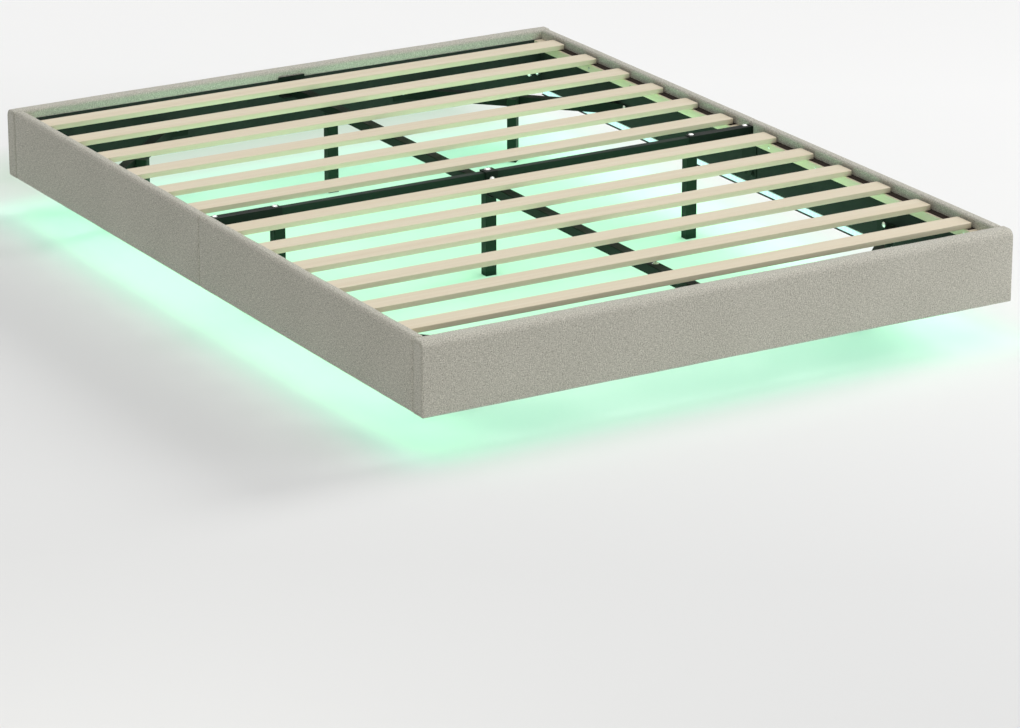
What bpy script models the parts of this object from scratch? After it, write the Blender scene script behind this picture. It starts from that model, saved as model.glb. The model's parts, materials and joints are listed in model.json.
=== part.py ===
"""Floating bed with upholstered rails, wooden slats and a steel underframe that stands on inset legs.

The bed is modelled at its real size in metres. X is its width, +Y points to the head end and +Z is up.
The origin is on the floor, at the middle of the footprint.
"""

import math

import bmesh
import bpy
from mathutils import Matrix, Vector

# Overall sizes
BED_WIDTH = 1.580
BED_LENGTH = 2.123
RAIL_HEIGHT = 0.175
FLOOR_CLEARANCE = 0.100
SEAT_GAP = 0.0003

# Upholstered panels: the two side rails are in halves, and the end panels cover their ends
SIDE_THICKNESS = 0.028
END_THICKNESS = 0.044
PAD_RADIUS = 0.008
CORNER_RADIUS = 0.005
SEAM_RADIUS = 0.003
PAD_SEGMENTS = 3

# Dark cloth that closes the back of each panel
LINING_THICKNESS = 0.001
LINING_TOP_DROP = 0.023
LINING_BOTTOM_RISE = 0.002
LIGHT_BAND = 0.017

# Light strips along the lower inside edge of the side rails
LIGHT_HEIGHT = 0.013
LIGHT_THICKNESS = 0.003
LIGHT_END_GAP = 0.012
LIGHT_RADIUS = 0.001

# Slats, in two groups: the space over the cross beam is wider, and each end keeps its own space
SLATS_PER_HALF = 6
SLAT_WIDTH = 0.058
SLAT_THICKNESS = 0.013
MIDDLE_PITCH = 0.196
END_SPACE = 0.102
SLAT_RECESS = 0.0085
SLAT_END_GAP = 0.006
SLAT_CORNER_RADIUS = 0.004
SLAT_EDGE_RADIUS = 0.0015

# Wooden battens on the side rails, with a felt strip between batten and slats
BATTEN_WIDTH = 0.024
BATTEN_HEIGHT = 0.0225
BATTEN_EDGE_RADIUS = 0.001
BATTEN_MIDDLE_GAP = 0.043
BATTEN_END_GAP = 0.002
FELT_WIDTH = 0.020
FELT_THICKNESS = 0.0012
FELT_OVERHANG = 0.006

# Cross beam in the wider space, with a sleeve over each end
CROSS_BEAM_WIDTH = 0.020
CROSS_BEAM_HEIGHT = 0.040
CROSS_BEAM_DROP = 0.0115
SLEEVE_LENGTH = 0.187
SLEEVE_WALL = 0.002
TUBE_CORNER_RADIUS = 0.002
TUBE_SEGMENTS = 2

# Centre beams, which run from the end panels to the cross beam
CENTRE_BEAM_WIDTH = 0.030
CENTRE_BEAM_HEIGHT = 0.025
CENTRE_BEAM_DROP = 0.0385

# Folded steel brackets
BRACKET_WALL = 0.0025
SADDLE_WIDTH = 0.034
SADDLE_SHELF = 0.032
HOOK_WIDTH = 0.076
HOOK_RISE = 0.047
HOOK_SHELF = 0.030
JOINT_PLATE_WIDTH = 0.064
JOINT_PLATE_RISE = 0.035
JOINT_SHELF = 0.026

# Corner braces, which cross each corner at 45 degrees
BRACE_REACH = 0.397
BRACE_WIDTH = 0.025
BRACE_HEIGHT = 0.028
BRACE_RISE = 0.044
BRACE_TAB = 0.041
BRACE_WALL = 0.003

# Legs: three under the cross beam, one under the head's centre beam and one inside each brace
LEG_WIDTH = 0.030
LEG_DEPTH = 0.025
CROSS_LEG_INSET = 0.180
HEAD_LEG_INSET = 0.214

# Domed bolt heads on the sleeves, placed from the beam's ends and from its middle line
BOLT_RADIUS = 0.0065
BOLT_DOME = 0.0035
BOLT_STEPS = 16
BOLT_RINGS = 3
MERGE_DISTANCE = 0.00005
OUTER_BOLT_INSET = 0.015
INNER_BOLT_INSET = 0.175
BOLT_SIDESTEP = 0.003

# Heights worked out from the sizes above
RAIL_BOTTOM = FLOOR_CLEARANCE
RAIL_TOP = RAIL_BOTTOM + RAIL_HEIGHT
SLAT_TOP = RAIL_TOP - SLAT_RECESS
SLAT_BOTTOM = SLAT_TOP - SLAT_THICKNESS
FELT_TOP = SLAT_BOTTOM - SEAT_GAP
BATTEN_TOP = FELT_TOP - FELT_THICKNESS - SEAT_GAP
BATTEN_BOTTOM = BATTEN_TOP - BATTEN_HEIGHT
CROSS_BEAM_TOP = RAIL_TOP - CROSS_BEAM_DROP
CROSS_BEAM_BOTTOM = CROSS_BEAM_TOP - CROSS_BEAM_HEIGHT
CENTRE_BEAM_TOP = RAIL_TOP - CENTRE_BEAM_DROP
CENTRE_BEAM_BOTTOM = CENTRE_BEAM_TOP - CENTRE_BEAM_HEIGHT
BRACE_BOTTOM = RAIL_BOTTOM + BRACE_RISE

# Planes worked out from the sizes above
HALF_WIDTH = BED_WIDTH / 2
HALF_LENGTH = BED_LENGTH / 2
RAIL_INNER_X = HALF_WIDTH - SIDE_THICKNESS
PANEL_INNER_Y = HALF_LENGTH - END_THICKNESS
LINING_INNER_X = RAIL_INNER_X - SEAT_GAP - LINING_THICKNESS
LINING_INNER_Y = PANEL_INNER_Y - SEAT_GAP - LINING_THICKNESS
BEAM_END_X = LINING_INNER_X - SEAT_GAP
HOOK_PLANE_Y = LINING_INNER_Y - SEAT_GAP
LAST_SLAT_Y = PANEL_INNER_Y - END_SPACE
SLAT_PITCH = (LAST_SLAT_Y - MIDDLE_PITCH / 2) / (SLATS_PER_HALF - 1)

# The side of the cube that every box is scaled from, and the angle above which an edge stays sharp
CUBE_SIDE = 1
SHARP_ANGLE = math.radians(40)
BRACE_TURN = math.radians(45)

# Finishes: name, colour, roughness, metallic
FINISHES = {
    "linen": ((0.52, 0.50, 0.46), 0.92, 0.0),
    "lining": ((0.03, 0.035, 0.033), 0.95, 0.0),
    "wood": ((0.78, 0.68, 0.54), 0.55, 0.0),
    "felt": ((0.09, 0.07, 0.06), 0.98, 0.0),
    "steel": ((0.025, 0.025, 0.024), 0.42, 0.6),
    "bolt": ((0.62, 0.62, 0.60), 0.30, 1.0),
    "light": ((0.80, 1.00, 0.88), 0.40, 0.0),
}


def clear_scene():
    """Removes every object that the scene starts with."""
    for old in list(bpy.data.objects):
        bpy.data.objects.remove(old, do_unlink=True)


def make_finishes():
    """Makes one Principled material for each finish."""
    made = {}
    for name, (colour, roughness, metallic) in FINISHES.items():
        material = bpy.data.materials.new(name)
        material.use_nodes = True
        shader = material.node_tree.nodes["Principled BSDF"]
        shader.inputs["Base Color"].default_value = (*colour, 1.0)
        shader.inputs["Roughness"].default_value = roughness
        shader.inputs["Metallic"].default_value = metallic
        made[name] = material
    return made


def make_collection():
    """Makes the collection that holds the bed, with the empty that carries every piece."""
    collection = bpy.data.collections.new("floating_bed")
    bpy.context.scene.collection.children.link(collection)
    frame = bpy.data.objects.new("bed_frame", None)
    collection.objects.link(frame)
    return collection, frame


def place(piece, location, turn, finish):
    """Puts a piece in the bed's collection, under the frame, with its finish."""
    COLLECTION.objects.link(piece)
    piece.parent = FRAME
    piece.location = location
    piece.rotation_euler = turn
    piece.data.materials.append(FINISH[finish])
    return piece


def block(name, centre, size, finish, rounding=(0, 0, 0), segments=TUBE_SEGMENTS, turn=(0, 0, 0)):
    """Makes a box whose edges along X, Y and Z are rounded by the three radii of rounding."""
    mesh = bpy.data.meshes.new(name)
    shape = bmesh.new()
    bmesh.ops.create_cube(shape, size=CUBE_SIDE)
    bmesh.ops.scale(shape, vec=Vector(size), verts=shape.verts)
    weight = shape.edges.layers.float.new("bevel_weight_edge")
    largest = max(rounding)
    for edge in shape.edges:
        along = edge.verts[1].co - edge.verts[0].co
        axis = max(range(3), key=lambda k: abs(along[k]))
        edge[weight] = rounding[axis] / largest if largest else 0
    shape.to_mesh(mesh)
    shape.free()
    piece = place(bpy.data.objects.new(name, mesh), centre, turn, finish)
    if largest:
        bevel = piece.modifiers.new("rounded edges", "BEVEL")
        bevel.limit_method = "WEIGHT"
        bevel.width = largest
        bevel.segments = segments
        mesh.shade_smooth()
        mesh.set_sharp_from_angle(angle=SHARP_ANGLE)
    return piece


def folded(name, outline, length, centre, turn, finish="steel"):
    """Makes a folded bracket: a flat outline that runs straight for its length."""
    curve = bpy.data.curves.new(name, "CURVE")
    curve.dimensions = "2D"
    curve.fill_mode = "BOTH"
    curve.extrude = length / 2
    spline = curve.splines.new("POLY")
    spline.points.add(len(outline) - 1)
    for point, (across, up) in zip(spline.points, outline):
        point.co = (across, up, 0, 1)
    spline.use_cyclic_u = True
    return place(bpy.data.objects.new(name, curve), centre, turn, finish)


def build_panels():
    """The head and foot panels, and the side rails in halves between them."""
    height_middle = RAIL_BOTTOM + RAIL_HEIGHT / 2
    for end, sign in (("head", 1), ("foot", -1)):
        block(
            f"{end}_panel",
            (0, sign * (HALF_LENGTH - END_THICKNESS / 2), height_middle),
            (BED_WIDTH, END_THICKNESS, RAIL_HEIGHT),
            "linen",
            rounding=(PAD_RADIUS, PAD_RADIUS, CORNER_RADIUS),
            segments=PAD_SEGMENTS,
        )
        length = PANEL_INNER_Y - SEAT_GAP - SEAT_GAP / 2
        middle = sign * (SEAT_GAP / 2 + length / 2)
        for side, way in (("left", -1), ("right", 1)):
            block(
                f"{side}_rail_{end}_half",
                (way * (HALF_WIDTH - SIDE_THICKNESS / 2), middle, height_middle),
                (SIDE_THICKNESS, length, RAIL_HEIGHT),
                "linen",
                rounding=(SEAM_RADIUS, PAD_RADIUS, SEAM_RADIUS),
                segments=PAD_SEGMENTS,
            )


def build_linings():
    """Dark cloth on the back of every panel, which leaves a band for the light on the side rails."""
    end_bottom = RAIL_BOTTOM + LINING_BOTTOM_RISE
    end_top = RAIL_TOP - LINING_TOP_DROP
    end_width = 2 * (RAIL_INNER_X - SEAT_GAP)
    side_bottom = RAIL_BOTTOM + LIGHT_BAND
    side_top = BATTEN_BOTTOM - SEAT_GAP
    side_length = LINING_INNER_Y - SEAT_GAP - SEAT_GAP / 2
    for end, sign in (("head", 1), ("foot", -1)):
        block(
            f"{end}_lining",
            (0, sign * (LINING_INNER_Y + LINING_THICKNESS / 2), (end_bottom + end_top) / 2),
            (end_width, LINING_THICKNESS, end_top - end_bottom),
            "lining",
        )
        for side, way in (("left", -1), ("right", 1)):
            block(
                f"{side}_lining_{end}_half",
                (
                    way * (LINING_INNER_X + LINING_THICKNESS / 2),
                    sign * (SEAT_GAP + side_length) / 2,
                    (side_bottom + side_top) / 2,
                ),
                (LINING_THICKNESS, side_length - SEAT_GAP, side_top - side_bottom),
                "lining",
            )


def build_lights():
    """A light strip on each side rail, below the lining."""
    for side, way in (("left", -1), ("right", 1)):
        block(
            f"{side}_light_strip",
            (
                way * (RAIL_INNER_X - SEAT_GAP - LIGHT_THICKNESS / 2),
                0,
                RAIL_BOTTOM + LIGHT_BAND / 2,
            ),
            (LIGHT_THICKNESS, 2 * (LINING_INNER_Y - LIGHT_END_GAP), LIGHT_HEIGHT),
            "light",
            rounding=(0, LIGHT_RADIUS, 0),
        )


def build_battens():
    """The battens that carry the slats' ends, and the felt strips on them."""
    start = BATTEN_MIDDLE_GAP
    stop = LINING_INNER_Y - BATTEN_END_GAP
    felt_start = MIDDLE_PITCH / 2 - SLAT_WIDTH / 2 - FELT_OVERHANG
    felt_stop = LAST_SLAT_Y + SLAT_WIDTH / 2 + FELT_OVERHANG
    wall = RAIL_INNER_X - SEAT_GAP
    for end, sign in (("head", 1), ("foot", -1)):
        for side, way in (("left", -1), ("right", 1)):
            block(
                f"{side}_batten_{end}_half",
                (
                    way * (wall - BATTEN_WIDTH / 2),
                    sign * (start + stop) / 2,
                    BATTEN_TOP - BATTEN_HEIGHT / 2,
                ),
                (BATTEN_WIDTH, stop - start, BATTEN_HEIGHT),
                "wood",
                rounding=(BATTEN_EDGE_RADIUS, BATTEN_EDGE_RADIUS, BATTEN_EDGE_RADIUS),
            )
            block(
                f"{side}_felt_{end}_half",
                (
                    way * (wall - FELT_WIDTH / 2),
                    sign * (felt_start + felt_stop) / 2,
                    FELT_TOP - FELT_THICKNESS / 2,
                ),
                (FELT_WIDTH, felt_stop - felt_start, FELT_THICKNESS),
                "felt",
            )


def build_slats():
    """The slats, counted from the cross beam towards each end."""
    length = 2 * (RAIL_INNER_X - SLAT_END_GAP)
    for end, sign in (("head", 1), ("foot", -1)):
        for number in range(SLATS_PER_HALF):
            block(
                f"slat_{end}_{number + 1}",
                (
                    0,
                    sign * (MIDDLE_PITCH / 2 + number * SLAT_PITCH),
                    SLAT_TOP - SLAT_THICKNESS / 2,
                ),
                (length, SLAT_WIDTH, SLAT_THICKNESS),
                "wood",
                rounding=(SLAT_EDGE_RADIUS, SLAT_EDGE_RADIUS, SLAT_CORNER_RADIUS),
            )


def build_cross_beam():
    """The cross beam between the side rails, and the sleeve over each of its ends."""
    block(
        "cross_beam",
        (0, 0, CROSS_BEAM_TOP - CROSS_BEAM_HEIGHT / 2),
        (2 * BEAM_END_X, CROSS_BEAM_WIDTH, CROSS_BEAM_HEIGHT),
        "steel",
        rounding=(TUBE_CORNER_RADIUS, 0, 0),
    )
    inner = CROSS_BEAM_WIDTH / 2 + SEAT_GAP
    outer = inner + SLEEVE_WALL
    drop = -CROSS_BEAM_HEIGHT
    roof = SEAT_GAP
    outline = (
        (-outer, drop),
        (-inner, drop),
        (-inner, roof),
        (inner, roof),
        (inner, drop),
        (outer, drop),
        (outer, roof + SLEEVE_WALL),
        (-outer, roof + SLEEVE_WALL),
    )
    reach = BEAM_END_X - SLEEVE_LENGTH / 2
    for side, way in (("left", -1), ("right", 1)):
        folded(
            f"{side}_beam_sleeve",
            outline,
            SLEEVE_LENGTH,
            (way * reach, 0, CROSS_BEAM_TOP),
            ACROSS_BED,
        )


def build_centre_beams():
    """The two centre beams, the saddle that hangs them on the cross beam and the hooks at the ends."""
    saddle_inner = LEG_DEPTH / 2 + SEAT_GAP
    saddle_outer = saddle_inner + BRACKET_WALL
    shelf_top = CENTRE_BEAM_BOTTOM - SEAT_GAP - CROSS_BEAM_TOP
    shelf_bottom = shelf_top - BRACKET_WALL
    saddle = (
        (-saddle_outer - SADDLE_SHELF, shelf_bottom),
        (-saddle_inner, shelf_bottom),
        (-saddle_inner, SEAT_GAP),
        (saddle_inner, SEAT_GAP),
        (saddle_inner, shelf_bottom),
        (saddle_outer + SADDLE_SHELF, shelf_bottom),
        (saddle_outer + SADDLE_SHELF, shelf_top),
        (saddle_outer, shelf_top),
        (saddle_outer, SEAT_GAP + BRACKET_WALL),
        (-saddle_outer, SEAT_GAP + BRACKET_WALL),
        (-saddle_outer, shelf_top),
        (-saddle_outer - SADDLE_SHELF, shelf_top),
    )
    folded("centre_saddle", saddle, SADDLE_WIDTH, (0, 0, CROSS_BEAM_TOP), ACROSS_BED)

    beam_start = saddle_outer + SEAT_GAP
    beam_stop = HOOK_PLANE_Y - BRACKET_WALL - SEAT_GAP
    for end, sign in (("head", 1), ("foot", -1)):
        block(
            f"{end}_centre_beam",
            (0, sign * (beam_start + beam_stop) / 2, CENTRE_BEAM_TOP - CENTRE_BEAM_HEIGHT / 2),
            (CENTRE_BEAM_WIDTH, beam_stop - beam_start, CENTRE_BEAM_HEIGHT),
            "steel",
            rounding=(0, TUBE_CORNER_RADIUS, 0),
        )
        hook = (
            (0, -BRACKET_WALL),
            (0, HOOK_RISE),
            (-sign * BRACKET_WALL, HOOK_RISE),
            (-sign * BRACKET_WALL, 0),
            (-sign * (BRACKET_WALL + HOOK_SHELF), 0),
            (-sign * (BRACKET_WALL + HOOK_SHELF), -BRACKET_WALL),
        )
        folded(
            f"{end}_centre_hook",
            hook,
            HOOK_WIDTH,
            (0, sign * HOOK_PLANE_Y, CENTRE_BEAM_BOTTOM - SEAT_GAP),
            ACROSS_BED,
        )


def build_joint_plates():
    """A plate behind each side rail's middle joint, folded over to carry the cross beam's end."""
    top = CROSS_BEAM_BOTTOM - SEAT_GAP
    height = top - RAIL_BOTTOM - JOINT_PLATE_RISE
    for side, way in (("left", -1), ("right", 1)):
        outline = (
            (0, -height),
            (0, 0),
            (-way * JOINT_SHELF, 0),
            (-way * JOINT_SHELF, -BRACKET_WALL),
            (-way * BRACKET_WALL, -BRACKET_WALL),
            (-way * BRACKET_WALL, -height),
        )
        folded(
            f"{side}_joint_plate",
            outline,
            JOINT_PLATE_WIDTH,
            (way * BEAM_END_X, 0, top),
            ALONG_BED,
        )


def build_corners():
    """The corner braces with their tabs, and the leg that stands against the middle of each, inside it."""
    half_bar = BRACE_WIDTH * math.sqrt(2) / 2
    near = BRACE_REACH - half_bar
    far = BRACE_REACH + half_bar
    tip = far + BRACE_TAB
    stand_off = (BRACE_WIDTH / 2 + SEAT_GAP + LEG_WIDTH / 2) / math.sqrt(2)
    leg_inset = BRACE_REACH / 2 + stand_off
    leg_height = BRACE_BOTTOM + BRACE_HEIGHT
    for end, sign in (("head", 1), ("foot", -1)):
        for side, way in (("left", -1), ("right", 1)):
            reaches = (
                (0, near),
                (0, tip),
                (BRACE_WALL, tip),
                (BRACE_WALL, far - BRACE_WALL),
                (far - BRACE_WALL, BRACE_WALL),
                (tip, BRACE_WALL),
                (tip, 0),
                (near, 0),
            )
            outline = [(way * (BEAM_END_X - p), sign * (HOOK_PLANE_Y - q)) for p, q in reaches]
            folded(
                f"{side}_{end}_brace",
                outline,
                BRACE_HEIGHT,
                (0, 0, BRACE_BOTTOM + BRACE_HEIGHT / 2),
                (0, 0, 0),
            )
            block(
                f"{side}_{end}_leg",
                (
                    way * (BEAM_END_X - leg_inset),
                    sign * (HOOK_PLANE_Y - leg_inset),
                    leg_height / 2,
                ),
                (LEG_WIDTH, LEG_DEPTH, leg_height),
                "steel",
                rounding=(0, 0, TUBE_CORNER_RADIUS),
                turn=(0, 0, way * sign * BRACE_TURN),
            )


def build_middle_legs():
    """The legs under the cross beam, and the one under the head's centre beam."""
    under_cross = CROSS_BEAM_BOTTOM - SEAT_GAP
    under_centre = CENTRE_BEAM_BOTTOM - SEAT_GAP
    outer = BEAM_END_X - CROSS_LEG_INSET
    legs = (
        ("left_middle_leg", (-outer, 0), under_cross),
        ("centre_middle_leg", (0, 0), under_cross),
        ("right_middle_leg", (outer, 0), under_cross),
        ("centre_head_leg", (0, HOOK_PLANE_Y - HEAD_LEG_INSET), under_centre),
    )
    for name, (x, y), height in legs:
        block(
            name,
            (x, y, height / 2),
            (LEG_WIDTH, LEG_DEPTH, height),
            "steel",
            rounding=(0, 0, TUBE_CORNER_RADIUS),
        )


def build_bolts():
    """The domed bolt heads that hold the sleeves to the cross beam."""
    sphere = (BOLT_RADIUS**2 + BOLT_DOME**2) / (2 * BOLT_DOME)
    spread = math.asin(BOLT_RADIUS / sphere)
    profile = []
    for step in range(BOLT_RINGS + 1):
        angle = spread * step / BOLT_RINGS
        profile.append((sphere * math.sin(angle), BOLT_DOME - sphere * (1 - math.cos(angle))))
    profile.append((0, 0))
    outer = BEAM_END_X - OUTER_BOLT_INSET
    inner = BEAM_END_X - INNER_BOLT_INSET
    bolts = (
        ("left_outer_bolt", -outer),
        ("left_inner_bolt", -inner),
        ("right_inner_bolt", inner),
        ("right_outer_bolt", outer),
    )
    seat = CROSS_BEAM_TOP + SEAT_GAP + SLEEVE_WALL + SEAT_GAP
    for name, along in bolts:
        mesh = bpy.data.meshes.new(name)
        shape = bmesh.new()
        rim = [shape.verts.new((radius, 0, height)) for radius, height in profile]
        for start, end in zip(rim, rim[1:]):
            shape.edges.new((start, end))
        shape.to_mesh(mesh)
        shape.free()
        bolt = place(bpy.data.objects.new(name, mesh), (along, BOLT_SIDESTEP, seat), (0, 0, 0), "bolt")
        turn = bolt.modifiers.new("turned", "SCREW")
        turn.steps = BOLT_STEPS
        turn.render_steps = BOLT_STEPS
        turn.use_merge_vertices = True
        turn.merge_threshold = MERGE_DISTANCE
        turn.use_smooth_shade = True


# Turns that stand a flat outline up, so that it runs across the bed or along it
ACROSS_BED = Matrix(((0, 0, 1), (1, 0, 0), (0, 1, 0))).to_euler()
ALONG_BED = Matrix(((1, 0, 0), (0, 0, -1), (0, 1, 0))).to_euler()

clear_scene()
FINISH = make_finishes()
COLLECTION, FRAME = make_collection()
build_panels()
build_linings()
build_lights()
build_battens()
build_slats()
build_cross_beam()
build_centre_beams()
build_joint_plates()
build_corners()
build_middle_legs()
build_bolts()
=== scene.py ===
"""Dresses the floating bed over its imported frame.

The rails become padded linen panels, the slats and battens planed wood, and the underframe black steel with
bright bolts. The light strips glow mint on a pale floor, under soft studio light, seen from the photograph's
angle.
"""

import json
import logging
import math
from dataclasses import dataclass
from enum import Enum
from typing import Any

import bpy
import numpy as np
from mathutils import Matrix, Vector

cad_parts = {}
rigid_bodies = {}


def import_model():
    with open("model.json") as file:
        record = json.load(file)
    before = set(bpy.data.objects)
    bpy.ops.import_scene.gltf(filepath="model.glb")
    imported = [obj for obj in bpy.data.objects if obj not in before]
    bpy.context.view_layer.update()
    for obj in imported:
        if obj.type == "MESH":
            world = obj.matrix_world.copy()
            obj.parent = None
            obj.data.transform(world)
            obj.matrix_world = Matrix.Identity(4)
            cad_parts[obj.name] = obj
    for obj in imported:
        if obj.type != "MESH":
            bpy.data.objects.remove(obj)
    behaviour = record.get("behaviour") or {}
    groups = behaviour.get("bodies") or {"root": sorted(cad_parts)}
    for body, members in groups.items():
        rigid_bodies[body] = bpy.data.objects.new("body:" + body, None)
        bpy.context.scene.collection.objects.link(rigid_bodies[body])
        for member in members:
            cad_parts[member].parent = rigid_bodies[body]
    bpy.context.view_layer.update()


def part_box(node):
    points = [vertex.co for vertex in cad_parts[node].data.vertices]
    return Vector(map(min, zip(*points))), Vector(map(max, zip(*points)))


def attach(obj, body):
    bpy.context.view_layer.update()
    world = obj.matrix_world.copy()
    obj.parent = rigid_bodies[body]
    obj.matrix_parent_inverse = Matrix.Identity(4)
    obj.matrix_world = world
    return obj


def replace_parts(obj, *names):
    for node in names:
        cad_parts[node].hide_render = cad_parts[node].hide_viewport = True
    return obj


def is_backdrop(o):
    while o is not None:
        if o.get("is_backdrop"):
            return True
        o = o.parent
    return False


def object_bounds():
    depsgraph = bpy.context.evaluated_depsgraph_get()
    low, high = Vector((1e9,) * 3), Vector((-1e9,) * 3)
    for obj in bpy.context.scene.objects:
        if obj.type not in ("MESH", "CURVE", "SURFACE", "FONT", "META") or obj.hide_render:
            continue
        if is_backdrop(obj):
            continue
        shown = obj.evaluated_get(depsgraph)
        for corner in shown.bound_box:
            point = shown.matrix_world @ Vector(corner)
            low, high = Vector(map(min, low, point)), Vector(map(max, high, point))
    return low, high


LOG = logging.getLogger("floating_bed")
BODY = "root"
WEAVE_MAP = "weave"
Array = np.ndarray
Socket = bpy.types.NodeSocket
Node = bpy.types.Node
Tree = bpy.types.NodeTree
Colour = tuple[float, float, float]
Triple = tuple[float, float, float]
UP = np.array((0.0, 0.0, 1.0))


class Slot(Enum):
    """The record's material slots."""

    LINEN = "linen"
    LINING = "lining"
    WOOD = "wood"
    FELT = "felt"
    STEEL = "steel"
    BOLT = "bolt"
    LIGHT = "light"


class Edge(Enum):
    """An edge of the bed, whose value is the unit vector from it to the bed's middle."""

    @property
    def label(self) -> str:
        """Returns the edge's word in the nodes' names."""
        return self.name.lower()

    @property
    def inward(self) -> Array:
        """Returns the way to the bed's middle."""
        return np.array(self.value)


class Side(Edge):
    """The two long sides."""

    LEFT = (1.0, 0.0, 0.0)
    RIGHT = (-1.0, 0.0, 0.0)


class End(Edge):
    """The two short ends."""

    HEAD = (0.0, -1.0, 0.0)
    FOOT = (0.0, 1.0, 0.0)


class Grain(Enum):
    """The axis that a piece of wood's grain follows, as the turn about Z that brings it onto X."""

    ACROSS_BED = 0.0
    ALONG_BED = math.pi / 2


class Held(Enum):
    """How a cloth is held on what it rests on."""

    STRETCHED = "stretched"
    LAID = "laid"


class LampKind(Enum):
    """The kinds of lamp in the studio."""

    SUN = "SUN"
    AREA = "AREA"


# Wiring of node trees


@dataclass
class Wiring:
    """Adds nodes to one tree and joins their sockets."""

    tree: Tree

    def feed(self, node: Node, inputs: dict[Any, Any]) -> None:
        """Feeds some of a node's inputs.

        Args:
            node: The node.
            inputs: For each input, by name or index, the socket that feeds it or its constant.
        """
        for key, value in inputs.items():
            if isinstance(value, Socket):
                self.tree.links.new(value, node.inputs[key])
            else:
                node.inputs[key].default_value = value

    def node(self, kind: str, inputs: dict[Any, Any] | None = None, **settings: Any) -> Node:
        """Adds a node.

        Args:
            kind: The node's type name.
            inputs: What feeds its inputs, as in feed.
            settings: The node's own properties.

        Returns:
            The new node.
        """
        made = self.tree.nodes.new(kind)
        for name, value in settings.items():
            setattr(made, name, value)
        self.feed(made, inputs or {})
        return made

    def math(self, operation: str, first: Any, second: Any = 0.0, third: Any = 0.0) -> Socket:
        """Adds a Math node and returns its value."""
        inputs = {0: first, 1: second, 2: third}
        return self.node("ShaderNodeMath", inputs, operation=operation).outputs[0]

    def scaled_sum(self, value: Any, factor: Any, rest: Any) -> Socket:
        """Multiplies a value by a factor, adds the rest, and returns the sum."""
        return self.math("MULTIPLY_ADD", value, factor, rest)

    def noise(self, vector: Any, scale: Any, detail: float = 2.0, rough: float = 0.5) -> Socket:
        """Adds a noise texture of scale waves a metre, and returns its factor, about 0.5 on average."""
        inputs = {"Vector": vector, "Scale": scale, "Detail": detail, "Roughness": rough}
        return self.node("ShaderNodeTexNoise", inputs).outputs["Fac"]

    def drawn_noise(self, vector: Any, scale: Triple, detail: float, rough: float) -> Socket:
        """Adds a noise texture with its own waves a metre along each axis, and returns its factor."""
        drawn = self.node("ShaderNodeMapping", {"Vector": vector, "Scale": scale}).outputs[0]
        return self.noise(drawn, 1.0, detail, rough)

    def moved(self, vector: Any, shift: Any) -> Socket:
        """Adds a shift to a vector and returns the sum."""
        return self.node("ShaderNodeVectorMath", {0: vector, 1: shift}, operation="ADD").outputs[0]

    def axes(self, vector: Any) -> list[Socket]:
        """Splits a vector and returns its X, Y and Z."""
        return list(self.node("ShaderNodeSeparateXYZ", {0: vector}).outputs)

    def ramp(self, value: Any, low: float, high: float) -> Socket:
        """Maps a value from between low and high to between 0 and 1, clamped, and returns it."""
        inputs = {"Value": value, "From Min": low, "From Max": high}
        return self.node("ShaderNodeMapRange", inputs).outputs[0]

    def blend(self, share: Any, first: Any, second: Any) -> Socket:
        """Mixes two colours by share and returns the colour."""
        made = self.node("ShaderNodeMix", {0: share, 6: opaque(first), 7: opaque(second)}, data_type="RGBA")
        return made.outputs[2]

    def bump(self, height: Any, distance: float, strength: float) -> Socket:
        """Adds a Bump node whose height of 1 stands for the distance, and returns its normal."""
        inputs = {"Height": height, "Distance": distance, "Strength": strength}
        return self.node("ShaderNodeBump", inputs).outputs[0]


def opaque(colour: Any) -> Any:
    """Gives a plain colour its alpha of 1, and leaves a socket as it is."""
    return colour if isinstance(colour, Socket) else (*colour, 1.0)


def new_group(
    name: str, inputs: dict[str, float], outputs: tuple[str, ...]
) -> tuple[Wiring, dict[str, Socket], Node]:
    """Starts a shader node group with a vector input, float inputs and float outputs.

    Args:
        name: The group's name.
        inputs: The float inputs and their defaults.
        outputs: The float outputs' names.

    Returns:
        The group's wiring, what it is given by name, and its output node.
    """
    tree = bpy.data.node_groups.new(name, "ShaderNodeTree")
    tree.interface.new_socket("Vector", in_out="INPUT", socket_type="NodeSocketVector")
    for label, value in inputs.items():
        socket = tree.interface.new_socket(label, in_out="INPUT", socket_type="NodeSocketFloat")
        socket.default_value = value
    for label in outputs:
        tree.interface.new_socket(label, in_out="OUTPUT", socket_type="NodeSocketFloat")
    wiring = Wiring(tree)
    given = wiring.node("NodeGroupInput").outputs
    return wiring, {label: given[label] for label in ("Vector", *inputs)}, wiring.node("NodeGroupOutput")


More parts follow.
